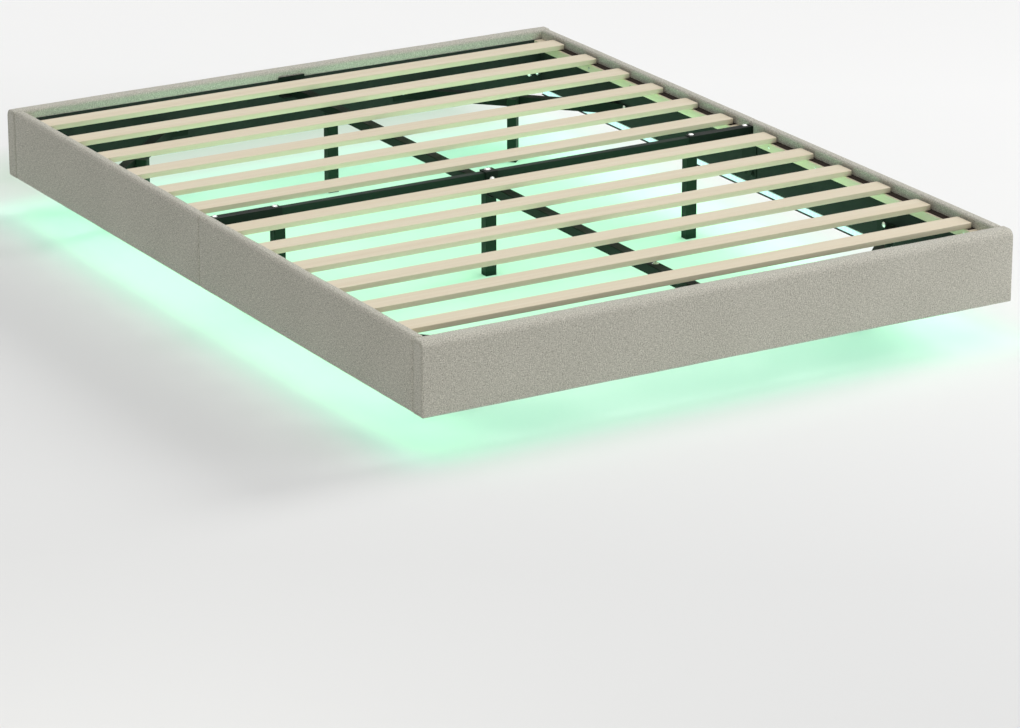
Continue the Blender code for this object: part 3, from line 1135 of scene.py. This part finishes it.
@dataclass
class PaddedPanel:
    """One upholstered panel: a board under thin foam and linen, which follows its node's box."""

    node: str
    outward: Array
    seed: float
    padding: Padding

    def build(self) -> bpy.types.Object:
        """Builds the panel and lets it stand for its node.

        Returns:
            The panel.
        """
        box = Box.of(self.node)
        padding = self.padding
        along = np.cross(self.outward, UP)
        length, thick, height = box.reach(along), box.reach(self.outward), box.reach(UP)
        base = box.middle - self.outward * thick / 2 - UP * height / 2
        bar = RoundedBar(
            length,
            (0.0, 0.0),
            (thick, height),
            (padding.bottom, padding.top_outer, padding.top_inner, padding.bottom),
            padding.end,
            body_steps=round(length / padding.ring_pitch),
            arc_steps=7,
            flat_steps=7,
            end_steps=6,
            seam=padding.seam,
        )

        def waves(s: Array, b: Array, lengths: tuple[float, float], phases: tuple[float, float]) -> Array:
            """Multiplies a sine wave along the panel by one up it.

            Args:
                s: Places along the panel.
                b: Places up it.
                lengths: The two waves' lengths.
                phases: Where each wave starts, in multiples of the seed.

            Returns:
                The product, from -1 to 1.
            """
            first = np.sin(2 * math.pi * s / lengths[0] + phases[0] * self.seed)
            return first * np.sin(2 * math.pi * b / lengths[1] + phases[1] * self.seed)

        def swell(s: Array, a: Array, b: Array, na: Array, nb: Array) -> Array:
            """Crowns face and top by parabolas that die out at the ends, and ripples them slightly.

            Args:
                s: Places along the panel, from its middle.
                a: Places outwards.
                b: Places up.
                na: How far each place looks outwards.
                nb: How far each place looks up.

            Returns:
                How far each place stands out.
            """
            fade = 1.0 - np.abs(2 * s / length) ** padding.fade_power
            face = padding.face_crown * (1.0 - (2 * b / height - 1.0) ** 2) * np.maximum(na, 0.0) ** 2
            top = padding.top_crown * (1.0 - (2 * a / thick - 1.0) ** 2) * np.maximum(nb, 0.0) ** 2
            slow = waves(s, b, padding.slow_waves, (1, 2))
            quick = waves(s, b, padding.quick_waves, (3, 1))
            return (face + top + padding.ripple * (slow + padding.quick_share * quick)) * fade

        solid = bar.solid(base, along, self.outward, swell)
        shown = solid.show(f"padded_{self.node}", padding.linen, smooth=50.0)
        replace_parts(shown, self.node)
        return shown


@dataclass
class Upholstery:
    """The two end panels and the four side rail halves."""

    rail: Padding = Padding()
    end_panel: Padding = Padding(
        top_outer=0.017,
        top_inner=0.008,
        face_crown=0.0018,
        end=EndRounding(0.003, 0.001, 0.003, 0.002, 0.003),
        seam=CapSeam(),
        linen=Linen(),
    )
    end_seeds: tuple[float, float] = (0.4, 1.9)
    rail_seed: float = 2.7
    half_seed: float = 1.3
    left_seed: float = 0.6

    def build(self) -> None:
        """Builds every panel, each with its own ripples."""
        for end, seed in zip(End, self.end_seeds):
            PaddedPanel(f"{end.label}_panel", -end.inward, seed, self.end_panel).build()
        for side in Side:
            for number, end in enumerate(End):
                seed = self.rail_seed + self.half_seed * number
                if side is Side.LEFT:
                    seed += self.left_seed
                PaddedPanel(f"{side.label}_rail_{end.label}_half", -side.inward, seed, self.rail).build()


@dataclass
class ClothStrip:
    """A thin cloth on a flat face, filling its node's box: backing cloth on a panel, or felt on a batten."""

    node: str
    finish: Finish
    rests_on: str
    held: Held
    edge_share: float = 0.4
    ring_pitch: float = 0.03

    def build(self) -> bpy.types.Object:
        """Returns:
            The cloth.
        """
        box = Box.of(self.node)
        order = np.argsort(box.size)
        along = np.eye(3)[order[2]]
        across = np.cross(UP, along)
        length, wide, height = box.reach(along), box.reach(across), box.reach(UP)
        edge = min(wide, height) * self.edge_share
        bar = RoundedBar(
            length,
            (-wide / 2, -height / 2),
            (wide / 2, height / 2),
            (edge, edge, edge, edge),
            EndRounding(edge, edge, edge, edge, edge),
            body_steps=round(length / self.ring_pitch),
            arc_steps=2,
            flat_steps=3,
            end_steps=2,
        )
        shown = bar.solid(box.middle, along, across).show(f"cloth_{self.node}", self.finish)
        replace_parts(shown, self.node)
        return shown


@dataclass
class Cloths:
    """The backing cloths on the panels and the felts on the battens."""

    backing: BackingCloth = BackingCloth()
    felt: Felt = Felt()

    def build(self) -> None:
        """Builds every cloth on what carries it."""
        for end in End:
            panel = f"padded_{end.label}_panel"
            ClothStrip(f"{end.label}_lining", self.backing, panel, Held.STRETCHED).build()
            for side in Side:
                half = f"{end.label}_half"
                rail = f"padded_{side.label}_rail_{half}"
                ClothStrip(f"{side.label}_lining_{half}", self.backing, rail, Held.STRETCHED).build()
                batten = f"planed_{side.label}_batten_{half}"
                ClothStrip(f"{side.label}_felt_{half}", self.felt, batten, Held.LAID).build()


@dataclass
class PlanedBar:
    """A slat or a batten, which fills its node's box."""

    node: str
    grain: Grain
    edge: float
    plan_corner: float

    def build(self) -> bpy.types.Object:
        """Builds the bar with eased edges and rounded ends, and lets it stand for its node.

        Returns:
            The bar.
        """
        box = Box.of(self.node)
        along = np.array((0.0, 1.0, 0.0)) if self.grain is Grain.ALONG_BED else np.array((1.0, 0.0, 0.0))
        across = np.cross(UP, along)
        wide, height = box.reach(across), box.reach(UP)
        corner, edge = self.plan_corner, self.edge
        bar = RoundedBar(
            box.reach(along),
            (-wide / 2, -height / 2),
            (wide / 2, height / 2),
            (edge, edge, edge, edge),
            EndRounding(corner, corner, corner, edge / 2, edge / 2),
            body_steps=30,
            arc_steps=4,
            flat_steps=3,
            end_steps=6,
        )
        solid = bar.solid(box.middle, along, across)
        shown = solid.show(f"planed_{self.node}", PlanedWood(grain=self.grain))
        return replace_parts(shown, self.node)


@dataclass
class SlatBase:
    """The twelve slats, and the battens on the side rails with their screws."""

    slats_per_half: int = 6
    slat_edge: float = 0.0009
    slat_corner: float = 0.0045
    batten_edge: float = 0.0010
    batten_corner: float = 0.0012
    screws_per_batten: int = 5
    screw_inset: float = 0.075
    screw_sink: float = 0.0002

    def build(self) -> None:
        """Builds the slats, the battens and the screw heads on the battens' inner faces."""
        for end in End:
            for number in range(self.slats_per_half):
                name = f"slat_{end.label}_{number + 1}"
                PlanedBar(name, Grain.ACROSS_BED, self.slat_edge, self.slat_corner).build()
            for side in Side:
                name = f"{side.label}_batten_{end.label}_half"
                PlanedBar(name, Grain.ALONG_BED, self.batten_edge, self.batten_corner).build()
                self.screws(name, side)

    def screws(self, batten: str, side: Side) -> None:
        """Sets a row of screw heads in a batten's inner face.

        Args:
            batten: The batten's node.
            side: The side of the bed that it is on.
        """
        box = Box.of(batten)
        face = box.face(side.inward)
        places = np.linspace(
            box.low[1] + self.screw_inset, box.high[1] - self.screw_inset, self.screws_per_batten
        )
        sink = side.inward * self.screw_sink
        heads = [ScrewHead().solid(np.array((face, y, box.middle[2])) - sink, side.inward) for y in places]
        Solid.joined(heads).show(f"screws_{batten}", BrightZinc())


@dataclass
class Underframe:
    """The steel beams, brackets, braces and legs, and the bolts that hold them."""

    steel_words: tuple[str, ...] = ("beam", "sleeve", "saddle", "hook", "plate", "brace", "leg")
    steel: PowderCoat = PowderCoat()
    # Painted light: a brighter, greener copy of the coat for the legs and the cross beam, as if lit more by
    # the strips.
    low_steel: PowderCoat = PowderCoat(coat=(0.0086, 0.0250, 0.0146), dust=(0.0150, 0.0220, 0.0160))
    sleeve_bolts: tuple[str, ...] = (
        "left_outer_bolt",
        "left_inner_bolt",
        "right_inner_bolt",
        "right_outer_bolt",
    )
    sleeve_washer: float = 0.0068
    roof_bolt_place: float = 0.006
    saddle_wall_place: float = -0.0153
    wall_bolt_drop: float = 0.021
    beam_bolt_inset: float = 0.012
    beam_bolt_place: float = -0.750
    corner_bolt_rise: float = 0.058
    corner_bolt_insets: tuple[float, float] = (0.010, 0.036)
    plate: float = 0.0025
    plate_bolt_rise: float = 0.008
    plate_bolt_reach: float = 0.018
    tab: float = 0.003
    tab_washer: float = 0.0069
    tab_bolt_drop: float = 0.007
    tab_bolt_inset: float = 0.029

    def build(self) -> None:
        """Coats the steel nodes and adds the bolts."""
        for piece in list(bpy.data.objects):
            if piece.type == "MESH" and piece.name.split("_")[-1] in self.steel_words:
                self.coat(piece)
        for name in self.sleeve_bolts:
            self.replace_bolt(name)
        self.beam_bolts()
        self.corner_bolts()
        self.plate_bolts()
        self.brace_bolts()

    def coat(self, node: bpy.types.Object) -> None:
        """Gives a steel node its powder coat; the legs and the cross beam take a brighter, greener copy,
        which is painted light.

        Args:
            node: The node's object.
        """
        low = node.name == "cross_beam" or node.name.endswith("_leg")
        node.data.materials.clear()
        node.data.materials.append(WARDROBE.get(self.low_steel if low else self.steel))
        LOG.info("%s: coated, %s", node.name, self.steel.slot.value)

    def replace_bolt(self, node: str) -> None:
        """Builds a fine bolt head where a plain one sits.

        Args:
            node: The plain bolt's node.
        """
        box = Box.of(node)
        seat = np.array((*box.middle[:2], box.low[2]))
        head = BoltHead(washer_radius=self.sleeve_washer).solid(seat, UP)
        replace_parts(head.show(f"head_of_{node}", BrightZinc()), node)

    def beam_bolts(self) -> None:
        """Sets a bolt on the saddle's roof, one in its near wall, and one on the foot's centre beam."""
        roof = Box.of("centre_saddle").high[2]
        edge_x, _, top = Box.of("foot_centre_beam").high
        seats = (
            (np.array((0.0, self.roof_bolt_place, roof)), UP),
            (np.array((0.0, self.saddle_wall_place, roof - self.wall_bolt_drop)), -End.FOOT.inward),
            (np.array((edge_x - self.beam_bolt_inset, self.beam_bolt_place, top)), UP),
        )
        Solid.joined([BoltHead().solid(*seat) for seat in seats]).show("centre_line_bolts", BrightZinc())

    def corner_bolts(self) -> None:
        """Sets two bolts through each end lining at each corner, which hold the side rails' ends."""
        for end in End:
            box = Box.of(f"{end.label}_lining")
            face, rise = box.face(end.inward), box.low[2] + self.corner_bolt_rise
            reaches = [box.high[0] - inset for inset in self.corner_bolt_insets]
            places = [way * reach for way in (-1.0, 1.0) for reach in reaches]
            heads = [BoltHead().solid(np.array((x, face, rise)), end.inward) for x in places]
            Solid.joined(heads).show(f"{end.label}_corner_bolts", BrightZinc())

    def plate_bolts(self) -> None:
        """Sets a black bolt in each joint plate on each side of the rails' joint."""
        for side in Side:
            box = Box.of(f"{side.label}_joint_plate")
            face = box.face(-side.inward) + side.inward[0] * self.plate
            rise = box.low[2] + self.plate_bolt_rise
            places = (-self.plate_bolt_reach, self.plate_bolt_reach)
            heads = [BoltHead().solid(np.array((face, y, rise)), side.inward) for y in places]
            Solid.joined(heads).show(f"{side.label}_plate_bolts", self.steel)

    def brace_bolts(self) -> None:
        """Sets a bolt in each of a brace's two tabs."""
        head = BoltHead(washer_radius=self.tab_washer)
        for end in End:
            for side in Side:
                box = Box.of(f"{side.label}_{end.label}_brace")
                rise = box.high[2] - self.tab_bolt_drop
                x_way, y_way = side.inward[0], end.inward[1]
                wall_x, tip_x = box.face(-side.inward), box.face(side.inward)
                wall_y, tip_y = box.face(-end.inward), box.face(end.inward)
                rail_seat = (wall_x + x_way * self.tab, tip_y - y_way * self.tab_bolt_inset, rise)
                panel_seat = (tip_x - x_way * self.tab_bolt_inset, wall_y + y_way * self.tab, rise)
                on_rail = head.solid(np.array(rail_seat), side.inward)
                on_panel = head.solid(np.array(panel_seat), end.inward)
                Solid.joined([on_rail, on_panel]).show(f"{side.label}_{end.label}_brace_bolts", BrightZinc())


@dataclass
class LightStrips:
    """The lit strips under the side rails, each over the black lip of its channel."""

    lens: float = 0.0012
    cover_edge: float = 0.0004
    cover_end: EndRounding = EndRounding(0.001, 0.0, 0.001, 0.001, 0.001)
    lip_depth: float = 0.0060
    lip_height: float = 0.0026
    lip_gap: float = 0.0001
    lip_front_edge: float = 0.0005
    lip_back_edge: float = 0.0002
    lip_end: EndRounding = EndRounding(0.0004, 0.0, 0.0004, 0.0002, 0.0002)

    def build(self) -> None:
        """Builds both strips and their lips."""
        for side in Side:
            self.cover(side)
        for side in Side:
            self.lip(side)

    def cover(self, side: Side) -> None:
        """Builds a strip's cover, domed towards the middle of the bed, and lets it stand for its node.

        Args:
            side: The strip's side of the bed.
        """
        node = f"{side.label}_light_strip"
        box = Box.of(node)
        deep, long, high = box.size
        bar = RoundedBar(
            float(long),
            (-deep / 2, -high / 2),
            (deep / 2, high / 2),
            (self.lens, self.lens, self.cover_edge, self.cover_edge),
            self.cover_end,
            body_steps=60,
            arc_steps=4,
            flat_steps=3,
            end_steps=3,
        )
        solid = bar.solid(box.middle, np.cross(side.inward, UP), side.inward)
        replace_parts(solid.show(f"lit_{node}", LitDiffuser()), node)

    def lip(self, side: Side) -> None:
        """Builds the lip under a strip, a little deeper than the strip.

        Args:
            side: The strip's side of the bed.
        """
        box = Box.of(f"{side.label}_light_strip")
        bar = RoundedBar(
            box.reach(End.FOOT.inward),
            (0.0, -self.lip_height),
            (self.lip_depth, 0.0),
            (self.lip_front_edge, self.lip_front_edge, self.lip_back_edge, self.lip_back_edge),
            self.lip_end,
            body_steps=12,
            arc_steps=2,
            flat_steps=2,
            end_steps=2,
        )
        base = np.array((box.face(-side.inward), 0.0, box.low[2] - self.lip_gap))
        solid = bar.solid(base, np.cross(side.inward, UP), side.inward)
        solid.show(f"{side.label}_channel_lip", PowderCoat())


# The studio


@dataclass(frozen=True)
class Lamp:
    """A lamp of the studio, which shines along towards. A sun's spread is its angle, and it has no size."""

    name: str
    kind: LampKind
    power: float
    colour: Colour
    towards: Triple
    place: Triple = (0.0, 0.0, 3.0)
    size: tuple[float, float] = (1.0, 1.0)
    spread: float = 180.0

    def build(self) -> bpy.types.Object:
        """Makes the lamp, hidden from the camera.

        Returns:
            The lamp.
        """
        data = bpy.data.lights.new(self.name, self.kind.value)
        data.energy = self.power
        data.color = self.colour
        if self.kind is LampKind.SUN:
            data.angle = math.radians(self.spread)
        else:
            data.shape = "RECTANGLE"
            data.size, data.size_y = self.size
            data.spread = math.radians(self.spread)
        lamp = bpy.data.objects.new(self.name, data)
        lamp.location = self.place
        lamp.rotation_euler = Vector(self.towards).to_track_quat("-Z", "Y").to_euler()
        lamp.visible_camera = False
        bpy.context.scene.collection.objects.link(lamp)
        return lamp


@dataclass(frozen=True)
class FloorPatch:
    """A soft-edged patch of floor: where it starts, is full from, is full to and ends, on each axis."""

    x: tuple[float, float, float, float]
    y: tuple[float, float, float, float]

    def mask(self, wiring: Wiring, x: Any, y: Any) -> Socket:
        """Multiplies a ramp up and a ramp down along each axis.

        Args:
            wiring: The floor's wiring.
            x: The place across the bed.
            y: The place along the bed.

        Returns:
            1 inside the patch and 0 outside it.
        """
        shares = []
        for value, (start, full, still, stop) in ((x, self.x), (y, self.y)):
            up, down = wiring.ramp(value, start, full), wiring.ramp(value, stop, still)
            shares.append(wiring.math("MULTIPLY", up, down))
        return wiring.math("MULTIPLY", *shares)


@dataclass
class Studio:
    """The pale floor, the soft light and the camera."""

    floor_side: float = 60.0
    floor_roughness: float = 0.9
    floor_specular: float = 0.1
    floor_near: Colour = (0.741, 0.743, 0.739)
    floor_far: Colour = (0.942, 0.943, 0.940)
    depth_slant: float = 0.75
    depth_reach: tuple[float, float] = (-2.4, 2.2)
    # Painted shade under the bed: red and blue drop while green stays, standing in for the strips' green
    # light.
    tinge: FloorPatch = FloorPatch((-0.74, -0.60, 0.60, 0.74), (-0.66, -0.50, 0.86, 1.02))
    tinge_colour: Colour = (0.05, 0.83, 0.10)
    tinge_share: float = 0.12
    # Painted shadow past the head, tinted with painted green light.
    shade: FloorPatch = FloorPatch((-0.88, -0.62, 0.64, 0.84), (1.03, 1.33, 1.34, 1.62))
    shade_colour: Colour = (0.640, 0.765, 0.655)
    sky: float = 0.26
    backdrop: float = 0.93
    strip_offset: float = 0.012
    strip_lamp_width: float = 0.011
    strip_power: float = 0.95
    strip_colour: Colour = (0.36, 1.00, 0.46)
    strip_tilt: float = -0.7
    bounce_power: float = 6.0
    bounce_colour: Colour = (0.62, 1.00, 0.71)
    bounce_height: float = 0.012
    bounce_size: tuple[float, float] = (1.44, 1.98)
    glow_power: float = 5.75
    glow_colour: Colour = (0.16, 1.00, 0.62)
    glow_height: float = 0.070
    glow_past_left: float = 0.05
    glow_past_right: float = 0.04
    glow_past_foot: float = 0.03
    glow_past_head: float = 0.07
    camera_place: Triple = (-5.432, -9.248, 3.513)
    camera_pitch: float = 19.251
    camera_yaw: float = 30.704
    focal_pixels: float = 4615.1
    image_width: float = 1020.0
    sensor: float = 36.0
    sight: float = 200.0

    def build(self) -> None:
        """Builds everything round the bed."""
        bpy.context.scene.view_settings.view_transform = "Standard"
        self.floor()
        self.world()
        self.room_lamps()
        self.strip_lamps()
        self.camera()

    def floor(self) -> None:
        """Lays the floor."""
        half = self.floor_side / 2
        mesh = bpy.data.meshes.new("floor")
        corners = [(-half, -half, 0.0), (half, -half, 0.0), (half, half, 0.0), (-half, half, 0.0)]
        mesh.from_pydata(corners, [], [(0, 1, 2, 3)])
        mesh.materials.append(self.floor_paint())
        floor = bpy.data.objects.new("floor", mesh)
        bpy.context.scene.collection.objects.link(floor)
        floor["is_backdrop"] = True

    def floor_paint(self) -> bpy.types.Material:
        """Paints the floor paler away from the camera, with painted green-tinged shade under the bed and
        past its head.

        Returns:
            The material.
        """
        paint = bpy.data.materials.new("pale_floor")
        paint.use_nodes = True
        wiring = Wiring(paint.node_tree)
        x, y, _ = wiring.axes(wiring.node("ShaderNodeTexCoord").outputs["Object"])
        depth = wiring.ramp(wiring.scaled_sum(x, self.depth_slant, y), *self.depth_reach)
        colour = wiring.blend(depth, self.floor_near, self.floor_far)
        # Painted shade and green light under the bed, then a painted shadow past the head.
        tinge = wiring.math("MULTIPLY", self.tinge.mask(wiring, x, y), self.tinge_share)
        colour = wiring.blend(tinge, colour, self.tinge_colour)
        colour = wiring.blend(self.shade.mask(wiring, x, y), colour, self.shade_colour)
        inputs = {
            "Base Color": colour,
            "Roughness": self.floor_roughness,
            "Specular IOR Level": self.floor_specular,
        }
        wiring.feed(paint.node_tree.nodes["Principled BSDF"], inputs)
        return paint

    def world(self) -> None:
        """Lights the room evenly all round, and shows a pale backdrop to the camera and in reflections."""
        world = bpy.data.worlds.new("soft_room")
        world.use_nodes = True
        wiring = Wiring(world.node_tree)
        rays = wiring.node("ShaderNodeLightPath").outputs
        seen = wiring.math("ADD", rays["Is Camera Ray"], rays["Is Glossy Ray"])
        seen = wiring.math("ADD", seen, rays["Is Transmission Ray"])
        strength = wiring.scaled_sum(seen, self.backdrop - self.sky, self.sky)
        background = world.node_tree.nodes["Background"]
        wiring.feed(background, {"Color": (1.0, 1.0, 1.0, 1.0), "Strength": strength})
        bpy.context.scene.world = world

    def room_lamps(self) -> None:
        """Hangs a top light, a key on the right, and a side light and a fill in front."""
        sun, area = LampKind.SUN, LampKind.AREA
        lamps = (
            Lamp("top", sun, 1.52, (1.0, 1.0, 1.0), (-0.05, 0.10, -1.0), spread=75.0),
            Lamp("key", sun, 1.34, (1.0, 0.99, 0.98), (-0.87, -0.10, -0.43), spread=20.0),
            Lamp("side", area, 5.4, (1.0, 0.985, 0.92), (1.6, 1.6, -1.1), (-2.4, -2.4, 1.3), (1.3, 1.3)),
            Lamp("fill", area, 39.0, (1.0, 1.0, 1.03), (-2.75, 3.3, -1.4), (2.75, -3.3, 1.6), (2.0, 2.0)),
        )
        for lamp in lamps:
            lamp.build()

    def strip_lamps(self) -> None:
        """Hangs what the light strips throw: along each strip, and up from and down on the whole floor."""
        area = LampKind.AREA
        for side in Side:
            box = Box.of(f"{side.label}_light_strip")
            way = float(side.inward[0])
            place = (box.face(side.inward) + way * self.strip_offset, 0.0, float(box.middle[2]))
            size = (float(box.size[1]), self.strip_lamp_width)
            towards = (way, 0.0, self.strip_tilt)
            name = f"{side.label}_strip_light"
            Lamp(name, area, self.strip_power, self.strip_colour, towards, place, size).build()
        up, down = (0.0, 0.0, 1.0), (0.0, 0.0, -1.0)
        place = (0.0, 0.0, self.bounce_height)
        Lamp("bounce", area, self.bounce_power, self.bounce_colour, up, place, self.bounce_size).build()
        low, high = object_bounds()
        left, right = low[0] - self.glow_past_left, high[0] + self.glow_past_right
        foot, head = low[1] - self.glow_past_foot, high[1] + self.glow_past_head
        place = ((left + right) / 2, (foot + head) / 2, self.glow_height)
        size = (right - left, head - foot)
        Lamp("glow", area, self.glow_power, self.glow_colour, down, place, size).build()

    def camera(self) -> None:
        """Stands the camera where the photograph was taken from."""
        data = bpy.data.cameras.new("camera")
        data.sensor_width = self.sensor
        data.lens = self.focal_pixels / self.image_width * self.sensor
        data.clip_end = self.sight
        camera = bpy.data.objects.new("camera", data)
        camera.location = self.camera_place
        camera.rotation_euler = (math.radians(90.0 - self.camera_pitch), 0.0, math.radians(-self.camera_yaw))
        bpy.context.scene.collection.objects.link(camera)
        bpy.context.scene.camera = camera


def main() -> None:
    """Loads the frame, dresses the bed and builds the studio."""
    logging.basicConfig(level=logging.INFO, format="%(message)s")
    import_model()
    Upholstery().build()
    SlatBase().build()
    Cloths().build()
    Underframe().build()
    LightStrips().build()
    Studio().build()


if __name__ == "__main__":
    main()
